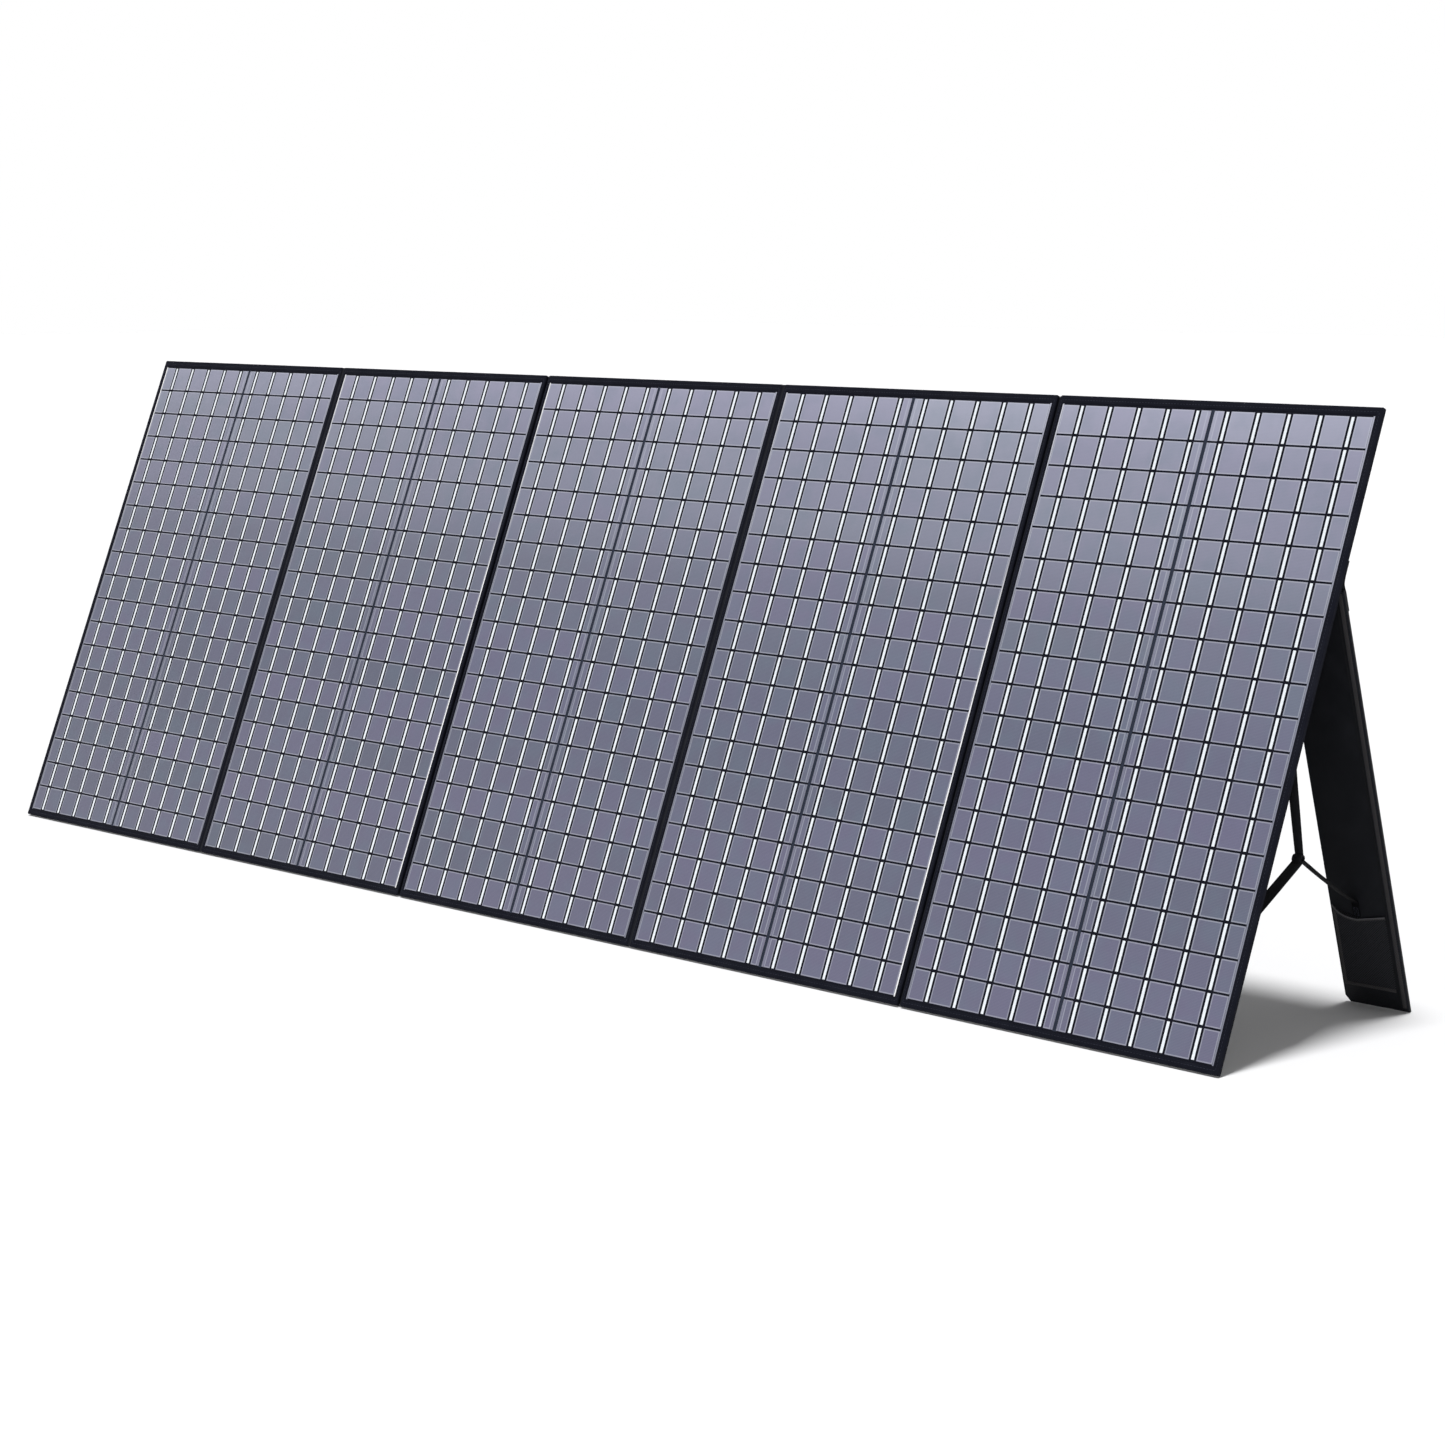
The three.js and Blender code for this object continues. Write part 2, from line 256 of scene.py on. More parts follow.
def cell_grey_with_painted_reflection(g, x, y):
    """The cells' grey with painted light: paler up the slope as a painted reflection of a brighter sky, and a
    little paler to the right as painted light along the row.
    """
    # painted reflection: the grey gets paler up the slope, standing in for a brighter sky mirrored in the
    # film
    height = span(g, y, 0, PANEL_H)
    stops = [(0.0, srgb(91, 94, 112)), (0.35, srgb(94, 97, 116)), (0.45, srgb(101, 105, 122)),
             (0.55, srgb(108, 111, 127)), (0.66, srgb(127, 130, 146)), (0.8, srgb(139, 142, 158)),
             (0.9, srgb(159, 161, 178)), (1.0, srgb(163, 166, 183))]
    grey = g.ramp(height, stops)
    # painted light: a little paler to the right, standing in for how light and reflection fall differently
    # along the row
    drift = span(g, x, -2 * PITCH, 2 * PITCH, 0.92, 1.1)
    return g.add("VectorMath", {"operation": "SCALE"}, i0=grey, Scale=drift).outputs[0]


def cell_material(name, lift):
    """Blue-grey silicon under film: fine finger lines and a cast that varies from cell to cell."""
    g = Graph(name, 0.34, Coat_Weight=0.2, Coat_Roughness=0.18, Specular_IOR_Level=0.4)
    where = g.place()
    x, y, z = g.split(where)
    cast_and_painted_highlight = g.add("Attribute", {"attribute_name": "cast_and_painted_highlight"}).outputs["Fac"]
    drift = g.noise(where, 0.022, 2.0)
    violet = g.mix(g.math("MULTIPLY", cast_and_painted_highlight, 0.26), cell_grey_with_painted_reflection(g, x, y), srgb(124, 112, 150))
    cool = g.math("MULTIPLY", span(g, drift, 0.45, 0.65), 0.16)
    shade = g.mix(cool, violet, srgb(92, 118, 130))
    fingers = g.math("SINE", g.math("MULTIPLY", y, 2 * math.pi / FINGER_PITCH))
    line = g.math("MULTIPLY", g.math("GREATER_THAN", fingers, 0.8), 0.10)
    lined = g.mix(line, shade, srgb(190, 192, 200))
    g.colour(g.mix(lift, lined, srgb(200, 202, 212)) if lift else lined)
    g.rough(span(g, drift, 0.3, 0.7, 0.30, 0.40))
    g.bump(g.noise(where, 0.35, 3.0), 0.05, 0.4)
    return g.material


def film_material():
    """The clear film's edge beside the cells, with a painted highlight: painted white high up on some, and
    low down on others.
    """
    g = Graph("film_edge", 0.35, Coat_Weight=0.3, Coat_Roughness=0.15)
    where = g.place()
    x, y, z = g.split(where)
    streak = g.noise(where, 0.012, 2.0)
    # this attribute holds each cell's own cast, and on the film tiles how strong the painted highlight is
    shine = g.add("Attribute", {"attribute_name": "cast_and_painted_highlight"}).outputs["Fac"]
    high = g.math("MULTIPLY", shine, span(g, y, *SHINE_HIGH))
    low = g.math("MULTIPLY", shine, span(g, y, *SHINE_LOW, 0.0, -1.0))
    share = g.math("MULTIPLY", g.math("MAXIMUM", high, low), span(g, streak, 0.3, 0.6, 0.75, 1.0), clamp=True)
    base = g.mix(0.2, cell_grey_with_painted_reflection(g, x, y), srgb(200, 202, 212))
    # the painted highlight: near-white mixed into the film's grey
    g.colour(g.mix(share, base, srgb(252, 252, 253)))
    g.bump(streak, 0.1, 0.3)
    return g.material


def busbar_material():
    g = Graph("busbar_silver", 0.42, Metallic=0.15, Coat_Weight=0.2, Coat_Roughness=0.2)
    where = g.place()
    grain = g.noise(where, 0.5, 4.0)
    g.colour(g.ramp(grain, [(0.3, srgb(236, 242, 250)), (0.7, srgb(248, 252, 255))]))
    g.bump(grain, 0.05, 0.5)
    return g.material


def backing_material(name, dark, light):
    g = Graph(name, 0.6, Specular_IOR_Level=0.15)
    where = g.place()
    grain = g.noise(where, 0.08, 3.0)
    g.colour(g.mix(grain, dark, light))
    g.bump(g.noise(where, 1.2, 2.0), 0.04, 0.5)
    return g.material


def moulded(name, dark, light, roughness, grain_mm=0.8):
    """Moulded plastic with a fine spark-eroded grain."""
    g = Graph(name, roughness, Specular_IOR_Level=0.45)
    where = g.place()
    grain = g.add("TexVoronoi", Vector=where, Scale=1 / grain_mm).outputs["Distance"]
    cloud = g.noise(where, 0.05, 4.0)
    g.colour(g.mix(cloud, dark, light))
    g.rough(span(g, cloud, 0.3, 0.7, roughness - 0.07, roughness + 0.08))
    g.bump(grain, 0.05, 0.8)
    return g.material


def mesh_material():
    """Air mesh: staggered round holes in a black knit."""
    g = Graph("pocket_mesh", 0.8, Sheen_Weight=0.05, Sheen_Roughness=0.5, Specular_IOR_Level=0.12)
    where = g.place(uv=True)
    turned = g.add("Mapping", {"vector_type": "POINT"}, Vector=where, Rotation=(0, 0, math.radians(45)),
                   Scale=(0.42, 0.42, 0.42))
    x, y, z = g.split(turned.outputs[0])
    dots = g.math("MULTIPLY", g.math("SINE", g.math("MULTIPLY", x, math.pi)),
                  g.math("SINE", g.math("MULTIPLY", y, math.pi)))
    hole = span(g, g.math("ABSOLUTE", dots), 0.25, 0.65)
    fuzz = g.noise(where, 1.5, 3.0)
    knit = g.mix(fuzz, srgb(28, 29, 33), srgb(60, 62, 68))
    g.colour(g.mix(hole, knit, srgb(4, 4, 6)))
    g.bump(g.math("SUBTRACT", 1.0, hole), 0.35)
    return g.material


M = {
    "cell": cell_material("cell_silicon", 0.0),
    "rim": cell_material("cell_silicon_edge", 0.3),
    "strip": cell_material("cell_silicon_strip", 0.05),
    "backing": backing_material("cell_backing", srgb(3, 4, 14), srgb(7, 10, 27)),
    "seam": backing_material("cell_seam", srgb(34, 39, 52), srgb(45, 51, 66)),
    "busbar": busbar_material(),
    "film": film_material(),
    "tape": woven("binding_tape", srgb(5, 6, 14), srgb(21, 23, 36), 0.55, roughness=0.9, sheen=0.0),
    "thread": woven("stitch_thread", srgb(34, 36, 48), srgb(58, 61, 74), 0.4, roughness=0.7),
    "cover": woven("back_polyester", srgb(17, 18, 21), srgb(37, 38, 43), 0.8, roughness=0.82, depth=0.16,
                   dust=0.015),
    "web": woven("hinge_tape", srgb(7, 8, 14), srgb(22, 24, 34), 0.7, roughness=0.85),
    "stand": woven("stand_cloth", srgb(12, 13, 17), srgb(25, 27, 33), 0.5, uv=True, roughness=0.6),
    "webbing": woven("strap_webbing", srgb(9, 10, 12), srgb(30, 31, 35), 0.9, uv=True, roughness=0.75,
                     depth=0.2, lines=(0.7, 1.3)),
    "rimtape": woven("stand_edge_strip", srgb(20, 20, 22), srgb(84, 82, 83), 1.1, uv=True, roughness=0.8,
                     depth=0.3, lines=(1.0, 1.6)),
    # the elastic's pale grey is a painted highlight along the pocket's top edge
    "elastic": woven("pocket_elastic_painted_highlight", srgb(58, 58, 62), srgb(112, 112, 116), 0.6, uv=True, roughness=0.7),
    "tie": woven("tie_webbing", srgb(2, 2, 4), srgb(9, 9, 12), 0.8, uv=True, roughness=0.9, sheen=0.0,
                 lines=(0.7, 1.3), dust=0.01),
    "mesh": mesh_material(),
    "board": moulded("inner_board", srgb(38, 39, 43), srgb(50, 51, 56), 0.7),
    "plastic": moulded("box_plastic", srgb(13, 14, 16), srgb(22, 23, 26), 0.5),
    "nut": moulded("gland_nylon", srgb(9, 10, 11), srgb(17, 18, 20), 0.4, grain_mm=0.5),
    "metal": moulded("screw_steel", srgb(120, 122, 126), srgb(160, 162, 166), 0.35),
}


# ---------- shape tools ----------
class Shell:
    """Gathers closed surfaces in millimetres and turns them into one Blender object."""

    def __init__(self, place=ROW):
        self.place = place
        self.points, self.uvs, self.faces, self.slots, self.casts_and_painted_highlights = [], [], [], [], []

    def add(self, points, faces, slot=0, uvs=None, cast_and_painted_highlight=0.5):
        first = len(self.points)
        self.points += [Vector(p) for p in points]
        self.uvs += uvs or [(p[0], p[1]) for p in points]
        for n, face in enumerate(faces):
            self.faces.append([first + i for i in face])
            self.slots.append(slot[n] if isinstance(slot, list) else slot)
            self.casts_and_painted_highlights.append(cast_and_painted_highlight)

    def rings(self, loops, slot=0, wrap=False, uvs=None):
        """Skins loops of equal length one to the next.

        With wrap the last loop joins the first, else both ends close.
        """
        size = len(loops[0])
        faces = []
        for a in range(len(loops) if wrap else len(loops) - 1):
            b = (a + 1) % len(loops)
            for i in range(size):
                j = (i + 1) % size
                faces.append([a * size + i, a * size + j, b * size + j, b * size + i])
        if not wrap:
            faces.append(list(range(size)))
            faces.append([(len(loops) - 1) * size + i for i in range(size)])
        self.add([p for loop in loops for p in loop], faces, slot, uvs)

    def tile(self, x0, y0, x1, y1, low, high, rim, slots, cast_and_painted_highlight):
        """A thin plate with a bevelled rim round its top."""
        corners = [(x0, y0), (x1, y0), (x1, y1), (x0, y1)]
        inner = [(x0 + rim, y0 + rim), (x1 - rim, y0 + rim), (x1 - rim, y1 - rim), (x0 + rim, y1 - rim)]
        points = [(x, y, low) for x, y in corners] + [(x, y, high - TILE_DROP) for x, y in corners]
        points += [(x, y, high) for x, y in inner]
        faces = [[3, 2, 1, 0]]
        faces += [[i, (i + 1) % 4, 4 + (i + 1) % 4, 4 + i] for i in range(4)]
        faces += [[4 + i, 4 + (i + 1) % 4, 8 + (i + 1) % 4, 8 + i] for i in range(4)]
        faces.append([8, 9, 10, 11])
        face, edge = slots
        self.add(points, faces, [edge] * 9 + [face], cast_and_painted_highlight=cast_and_painted_highlight)

    def stitch(self, middle, along, out, length=3.2, width=0.55, height=0.35):
        """One raised thread stitch lying on a surface whose outward direction is out."""
        along = Vector(along).normalized()
        out = Vector(out).normalized()
        side = along.cross(out)
        middle = Vector(middle)
        loops = []
        for t, size in ((-0.5, 0.35), (-0.3, 1.0), (0.3, 1.0), (0.5, 0.35)):
            centre = middle + along * (t * length)
            loops.append([centre + side * (width * size / 2), centre + out * (height * size),
                          centre - side * (width * size / 2), centre - out * (0.15 * size)])
        self.rings(loops)

    def stitches(self, path, out, pitch=4.6, **sizes):
        """Stitches along a line of points."""
        for a, b in zip(path, path[1:]):
            a, b = Vector(a), Vector(b)
            count = max(1, round((b - a).length / pitch))
            for i in range(count):
                self.stitch(a.lerp(b, (i + 0.5) / count), b - a, out, **sizes)

    def build(self, name, body, materials, replaces=(), smooth=35):
        mesh = bpy.data.meshes.new(name)
        mesh.from_pydata([self.place @ p for p in self.points], [], self.faces)
        layer = mesh.uv_layers.new(name="UVMap")
        layer.data.foreach_set("uv", [c / 1000 for loop in mesh.loops for c in self.uvs[loop.vertex_index]])
        cast_and_painted_highlight = mesh.attributes.new("cast_and_painted_highlight", "FLOAT", "FACE")
        cast_and_painted_highlight.data.foreach_set("value", self.casts_and_painted_highlights)
        for key in materials:
            mesh.materials.append(M[key])
        mesh.polygons.foreach_set("material_index", self.slots)
        shape = bmesh.new()
        shape.from_mesh(mesh)
        bmesh.ops.recalc_face_normals(shape, faces=shape.faces)
        shape.to_mesh(mesh)
        shape.free()
        if smooth:
            mesh.shade_smooth()
            mesh.set_sharp_from_angle(angle=math.radians(smooth))
        piece = bpy.data.objects.new(name, mesh)
        bpy.context.scene.collection.objects.link(piece)
        if body:
            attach(piece, body)
        if replaces:
            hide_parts(*replaces)
        return piece


def rounded_loop(x0, y0, x1, y1, r, steps_x, steps_y, turn=4):
    """A rectangle with round corners as a closed loop.

    Only the steps and the turn set how many points it has.
    """
    loop = []
    corners = [(x1 - r, y0 + r, -90), (x1 - r, y1 - r, 0), (x0 + r, y1 - r, 90), (x0 + r, y0 + r, 180)]
    steps = [steps_y, steps_x, steps_y, steps_x]
    for n, (cx, cy, start) in enumerate(corners):
        arc = [(cx + r * math.cos(math.radians(start + 90 * i / turn)),
                cy + r * math.sin(math.radians(start + 90 * i / turn))) for i in range(turn + 1)]
        loop += arc
        nx, ny, next_start = corners[(n + 1) % 4]
        a = arc[-1]
        b = (nx + r * math.cos(math.radians(next_start)), ny + r * math.sin(math.radians(next_start)))
        loop += [(a[0] + (b[0] - a[0]) * i / steps[n], a[1] + (b[1] - a[1]) * i / steps[n])
                 for i in range(1, steps[n])]
    return loop


def curve(points, per=8):
    """A smooth line through the points, as a Catmull-Rom spline."""
    points = [Vector(p) for p in points]
    ends = [points[0] * 2 - points[1], *points, points[-1] * 2 - points[-2]]
    line = []
    for i in range(1, len(ends) - 2):
        a, b, c, d = ends[i - 1 : i + 3]
        for n in range(per):
            t = n / per
            line.append(0.5 * (2 * b + (c - a) * t + (2 * a - 5 * b + 4 * c - d) * t * t
                               + (3 * b - a - 3 * c + d) * t * t * t))
    return [*line, points[-1]]


def ribbon(shell, line, width, thickness, slot=0, side=(1, 0, 0), grain=0.0):
    """A strap with softened edges along a line. Its width lies along side, and may be (first, last)."""
    line = [Vector(p) for p in line]
    side = Vector(side).normalized()
    first, last = width if isinstance(width, tuple) else (width, width)
    loops, uvs, run = [], [], 0.0
    for i, p in enumerate(line):
        along = (line[min(i + 1, len(line) - 1)] - line[max(i - 1, 0)]).normalized()
        out = side.cross(along).normalized()
        across = along.cross(out)
        if i:
            run += (p - line[i - 1]).length
        wave = grain * noise.noise(Vector((run * 0.02, 7.0, 3.0)))
        share = i / (len(line) - 1)
        w, t = (first + (last - first) * share) / 2, thickness / 2
        section = [(-w, -t * 0.5), (-w + 0.6, -t), (w - 0.6, -t), (w, -t * 0.5),
                   (w, t * 0.5), (w - 0.6, t), (-w + 0.6, t), (-w, t * 0.5)]
        loops.append([p + across * a + out * (b + wave) for a, b in section])
        uvs += [(a, run) for a, b in section]
    shell.rings(loops, slot, uvs=uvs)


# ---------- solar panels ----------
def cell_strips(reach):
    """One half of a row of cells, as (nearer, farther, pale) distances from the panel's middle."""
    edge = BAR_HALF + BAR_OUTLINE
    inner, outer = SEAM_STRIP
    starts = [outer] + [bar + edge for bar in BARS]
    ends = [bar - edge for bar in BARS] + [reach]
    return [(SEAM_HALF, inner, False), (inner, outer, True)] + [(a, b, False) for a, b in zip(starts, ends)]


def solar_face(k):
    """Cells, busbars, backing and the edges of the clear film on one panel."""
    rng = random.Random(100 + k)
    x_mid = panel_x(k)
    x0, y0, x1, y1 = opening(k)
    x0, y0, x1, y1 = x0 + CLEAR, y0 + CLEAR, x1 - CLEAR, y1 - CLEAR
    backing, cell, rim, bar, film, seam, strip = range(7)
    shell = Shell()
    shell.tile(x0, y0, x1, y1, -1.8, BASE_Z, 0.3, (backing, backing), 0.5)
    x0, y0, x1, y1 = x0 + EDGE_LINE, y0 + EDGE_LINE, x1 - EDGE_LINE, y1 - EDGE_LINE
    # how strong the film edge's painted highlight is on each side
    left_shine, right_shine = FILM_PAINTED_HIGHLIGHT[k]
    for a, b, shine in ((x0, x0 + FILM_EDGE, left_shine), (x1 - FILM_EDGE, x1, -right_shine)):
        shell.tile(a, y0, b, y1, BASE_Z, FILM_Z, 0.3, (film, film), shine)
    seam_half = SEAM_HALF - 0.3
    shell.tile(x_mid - seam_half, y0, x_mid + seam_half, y1, BASE_Z, BASE_Z + 0.1, 0.2, (seam, seam), 0.5)

    pitch = (y1 - y0) / ROWS
    halves = [(-1, x_mid - x0 - FILM_EDGE - 0.4), (1, x1 - x_mid - FILM_EDGE - 0.4)]
    for r in range(ROWS):
        low, high = y0 + r * pitch + ROW_GAP / 2, y0 + (r + 1) * pitch - ROW_GAP / 2
        for sign, reach in halves:
            hue = rng.random()
            for a, b, pale in cell_strips(reach):
                cast_and_painted_highlight = min(1, max(0, hue + rng.uniform(-0.2, 0.2)))
                left, right = sorted((x_mid + sign * a, x_mid + sign * b))
                shell.tile(left, low, right, high, BASE_Z, CELL_Z, 0.3 if pale else TILE_RIM,
                           (strip, strip) if pale else (cell, rim), cast_and_painted_highlight)
        low, high = y0 + r * pitch + BAR_BREAK / 2, y0 + (r + 1) * pitch - BAR_BREAK / 2
        for x in [x_mid + sign * b for sign in (-1, 1) for b in BARS]:
            shell.tile(x - BAR_HALF, low, x + BAR_HALF, high, BASE_Z, BAR_Z, 0.4, (bar, bar), 0.5)
    looks = ["backing", "cell", "rim", "busbar", "film", "seam", "strip"]
    shell.build(f"solar_face_{k}", f"panel_{k}", looks, replaces=[f"laminate_{k}"], smooth=0)


def edge_binding(k):
    """Tape folded round the panel's edge, slightly puffy, with a row of stitches on each side."""
    x0, x1 = panel_x(k) - PANEL_W / 2, panel_x(k) + PANEL_W / 2
    steps = (40, 70)
    outer = rounded_loop(x0, 0, x1, PANEL_H, BIND_R, *steps)
    inner = rounded_loop(*opening(k), 0.8, *steps)
    # steps round the tape's section: the share of the way from the outer edge to the inner one, and z
    profile = [(0.0, -5.9), (0.0, -3.5), (0.0, -1.1), (0.06, -0.45), (0.2, -0.1), (0.45, 0.0), (0.8, -0.06),
               (0.96, -0.25), (1.0, -0.5), (1.0, -3.5), (1.0, -6.5), (0.96, -6.8), (0.8, -6.95), (0.45, -7.0),
               (0.2, -6.9), (0.06, -6.55)]
    loops = []
    for t, z in profile:
        loop = []
        for i, (a, b) in enumerate(zip(outer, inner)):
            swell = 0.14 * noise.noise(Vector((a[0] * 0.03, a[1] * 0.03, k * 5.0)))
            puff = swell if 0.1 < t < 0.9 else 0.0
            z_puffed = z - abs(puff) * math.copysign(1, z + PANEL_T / 2)
            loop.append((a[0] + (b[0] - a[0]) * t, a[1] + (b[1] - a[1]) * t, z_puffed))
        loops.append(loop)
    shell = Shell()
    shell.rings(loops, wrap=True)
    shell.build(f"edge_binding_{k}", f"panel_{k}", ["tape"], replaces=[f"binding_{k}"])

    thread = Shell()
    in_x0, in_y0, in_x1, in_y1 = opening(k)
    left, right = x0 + (in_x0 - x0) * 0.6, x1 + (in_x1 - x1) * 0.6
    low, high = in_y0 * 0.6, PANEL_H + (in_y1 - PANEL_H) * 0.6
    path = [(left, low), (right, low), (right, high), (left, high), (left, low)]
    for z, out in ((-0.12, 1), (-PANEL_T + 0.12, -1)):
        thread.stitches([(x, y, z) for x, y in path], (0, 0, out))
    thread.build(f"binding_stitches_{k}", f"panel_{k}", ["thread"], smooth=60)


def hinge_tape(k):
    """Fabric hinge between panels k and k + 1, with a dip in the middle.

    It lies near the faces that fold together.
    """
    front = k % 2 == 1
    x_mid = panel_x(k) + PITCH / 2
    z_mid = -WEB_DEPTH if front else BACK + WEB_DEPTH
    dip = -WEB_DIP if front else WEB_DIP
    half = HINGE_GAP / 2 - 0.05
    shell = Shell()
    columns = 13
    rows = 60
    loops, uvs = [], []
    for r in range(rows + 1):
        y = WEB_END + (PANEL_H - 2 * WEB_END) * r / rows
        upper, lower = [], []
        for c in range(columns):
            x = -half + 2 * half * c / (columns - 1)
            u = x / half
            wrinkle = 0.18 * noise.noise(Vector((x * 0.3, y * 0.02, k * 3.0)))
            z = z_mid + dip * (1 - u * u) + wrinkle * (1 - u * u)
            upper.append((x_mid + x, y, z + WEB_HALF_T))
            lower.append((x_mid + x, y, z - WEB_HALF_T))
        loops.append(upper + lower[::-1])
        uvs += [(p[0] - x_mid, y) for p in loops[-1]]
    shell.rings(loops, uvs=uvs)
    pair = f"{k}{k + 1}"
    tape = shell.build(f"hinge_tape_{pair}", None, ["web"], replaces=[f"hinge_web_{pair}"],
                       smooth=50)
    y = PANEL_H / 2
    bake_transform(tape)


# ---------- stands ----------
def inset(loop, by):
    """A loop's points moved inwards by a distance; the loop may run either way round."""
    area = sum(a[0] * b[1] - b[0] * a[1] for a, b in zip(loop, loop[1:] + loop[:1]))
    turn = 1 if area > 0 else -1
    moved = []
    for i, p in enumerate(loop):
        a, b = Vector(loop[i - 1]), Vector(loop[(i + 1) % len(loop)])
        p = Vector(p)
        before, after = (p - a).normalized(), (b - p).normalized()
        normals = [Vector((-v.y, v.x)) * turn for v in (before, after)]
        half = (normals[0] + normals[1]).normalized()
        moved.append(tuple(p + half * (by / max(0.35, half.dot(normals[0])))))
    return moved


def soft_plate(shell, outline, low, high, r, slot=0):
    """A plate with rounded edges; outline is a loop of (x, y)."""
    cut = r * 0.3
    steps = [(r, low), (cut, low + cut), (0, low + r), (0, high - r), (cut, high - cut), (r, high)]
    shell.rings([[(x, y, z) for x, y in inset(outline, sink)] for sink, z in steps], slot)


def back_stand(k, side):
    edge = panel_x(k) + side * PANEL_W / 2
    middle = edge - side * STAND_W / 2
    place = leg_place(middle)
    half = STAND_W / 2
    inside, outside = -side * half, side * half
    foot = -LEG_LENGTH
    outline = [(outside, -STAND_TOP_GAP), (inside, -STAND_TOP_GAP), (inside, foot + STAND_CHAMFER),
               (inside + side * STAND_CHAMFER * 0.75, foot), (outside, foot)]

    board = Shell(place)
    soft_plate(board, outline, -STAND_T, 0, 0.9)
    board.build(f"stand_{k}_board", f"stand_{k}", ["stand"], replaces=[f"stand_board_{k}"])

    rim = Shell(place)
    x_rim = outside - side * (RIM_INSET + RIM_WEAVE / 2)
    steps = 50
    line = [(x_rim, foot + 6 + (LEG_LENGTH - 6 - STAND_TOP_GAP - 4) * i / steps, RIM_T / 2)
            for i in range(steps + 1)]
    ribbon(rim, line, RIM_WEAVE, RIM_T)
    x_cord = outside - side * (RIM_INSET + RIM_W - 1)
    ribbon(rim, [(x_cord, y, 0.4) for x, y, z in line], 2, 0.7, slot=1)
    rim.build(f"stand_{k}_edge_strip", f"stand_{k}", ["rimtape", "webbing"], replaces=[f"stand_rim_{k}"])

    pocket(k, side, place)
    stand_stitches(k, side, place, outline)
    straps(k, side, place)
    stand_hinge(k, middle)


def pocket_top(side):
    """The pocket's top edge: from its inner corner down to the tie's foot and up again to the edge strip."""
    half = STAND_W / 2
    start = (-side * (half - POCKET_INSET), -POCKET_CORNER)
    bend = (-side * half * 0.75, -POCKET_DIP)
    foot = (side * (half - STRAP_X - TIE_SLANT), -POCKET_DIP)
    end = (side * (half - RIM_INSET - RIM_W - 1.5), -POCKET_RIM)
    line = []
    for i in range(16):
        t = i / 16
        weights = ((1 - t) ** 2, 2 * t * (1 - t), t * t)
        line.append(tuple(sum(w * p[c] for w, p in zip(weights, (start, bend, foot))) for c in (0, 1)))
    run, rise = end[0] - foot[0], end[1] - foot[1]
    return line + [(foot[0] + run * i / 8, foot[1] + rise * i / 8) for i in range(9)]


def pocket(k, side, place):
    """Flat mesh pocket low on the inner face, with an elastic top edge, a side binding and a hem."""
    top_edge = pocket_top(side)
    rows = 24
    shell = Shell(place)
    loops, uvs, lip = [], [], []
    for r in range(rows + 1):
        t = r / rows
        upper, lower = [], []
        for c, (x, top) in enumerate(top_edge):
            u = c / (len(top_edge) - 1)
            y = top + (-POCKET_BOTTOM - top) * t
            swell = POCKET_SWELL * math.sin(math.pi * min(1.0, u * 1.4))
            ripple = 0.12 * noise.noise(Vector((x * 0.06, y * 0.06, k)))
            upper.append((x, y, 0.8 + swell * (1 - t) ** 2 + ripple))
            lower.append((x, y, 0.1))
        if r == 0:
            lip = upper
        loops.append(upper + lower[::-1])
        uvs += [(p[0], p[1]) for p in loops[-1]]
    shell.rings(loops, uvs=uvs)
    body = f"stand_{k}"
    shell.build(f"stand_{k}_pocket", body, ["mesh"], replaces=[f"stand_pocket_{k}"], smooth=50)

    bands = Shell(place)
    ribbon(bands, [Vector(p) + Vector((0, -1.2, 0.25)) for p in lip], 3.6, 1.3, side=(0, 1, 0))
    # a thin pale line on the lip, the painted highlight of the elastic edge
    ribbon(bands, [Vector(p) + Vector((0, -0.2, 0.75)) for p in lip], 1.6, 0.7, slot=1, side=(0, 1, 0))
    x_in, x_out = top_edge[0][0], top_edge[-1][0]
    hem = [(x_in + (x_out - x_in) * i / 12, -POCKET_BOTTOM + 2.5, 0.95) for i in range(13)]
    ribbon(bands, hem, 4.5, 0.8, side=(0, 1, 0))
    x_side = x_in + side * 2.4
    y_side = -POCKET_CORNER - 3
    drop = [(x_side, y_side + (-POCKET_BOTTOM - y_side) * i / 20, 1.0) for i in range(21)]
    ribbon(bands, drop, 4.5, 0.9)
    bands.build(f"stand_{k}_pocket_bands", body, ["rimtape", "elastic"], smooth=50)


def tie_box(x):
    """Pairs of ends of the lines sewn through the tie's foot: a box with a cross."""
    x0, x1, y0, y1, z = x - 3.2, x + 3.2, -POCKET_DIP + 5.5, -POCKET_DIP + 17, 2.0
    corners = [(x0, y0, z), (x1, y0, z), (x1, y1, z), (x0, y1, z)]
    return [corners[0], corners[1], corners[1], corners[2], corners[2], corners[3], corners[3], corners[0],
            corners[0], corners[2], corners[1], corners[3]]


